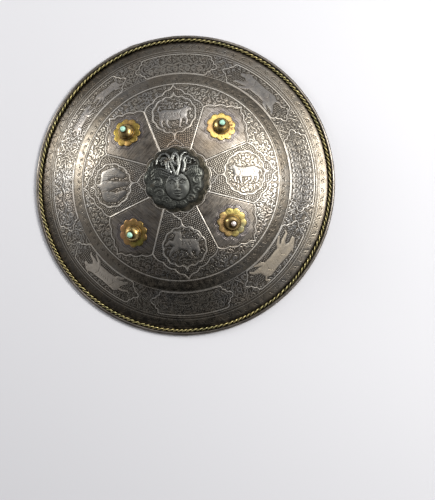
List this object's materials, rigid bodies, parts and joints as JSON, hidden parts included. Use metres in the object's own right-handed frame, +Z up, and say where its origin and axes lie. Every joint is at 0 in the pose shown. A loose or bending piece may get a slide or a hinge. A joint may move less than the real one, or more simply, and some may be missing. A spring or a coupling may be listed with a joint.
{
  "type": "buckler shield",
  "caption": "Round domed steel hand shield with a rolled, cable-edged rim, four gilt bosses on rosette washers with stone tips, and a central mask plaque.",
  "frame": {"origin": "centre of the rim, on the plane that the rim rests on", "axes": "+Z up along the bowl's axis, out of the dome; +Y towards the head side of the mask plaque; bosses on the diagonals"},
  "size_m": [0.42, 0.42, 0.0874],
  "materials": {
    "etched_steel": "etched and chiselled steel, brown-grey patina, bright on the raised lines",
    "dark_steel": "dark chiselled steel, polished by handling",
    "gilt": "gilt copper alloy, worn, with orange, pink and green tarnish",
    "brass": "old gilt brass, brown in the hollows",
    "silver": "dull silver",
    "turquoise": "pale green turquoise, satin, with fine brown veins"
  },
  "bodies": {
    "root": {"bowl": "etched_steel", "rim_cable": "brass", "mask_plaque": "dark_steel", "rosette_washer_upper_right": "gilt", "boss_upper_right": "brass", "boss_stone_upper_right": "turquoise", "rosette_washer_upper_left": "gilt", "boss_upper_left": "brass", "boss_stone_upper_left": "turquoise", "rosette_washer_lower_left": "gilt", "boss_lower_left": "brass", "boss_stone_lower_left": "turquoise", "rosette_washer_lower_right": "gilt", "boss_lower_right": "brass", "boss_pin_lower_right": "silver"}
  },
  "joints": []
}
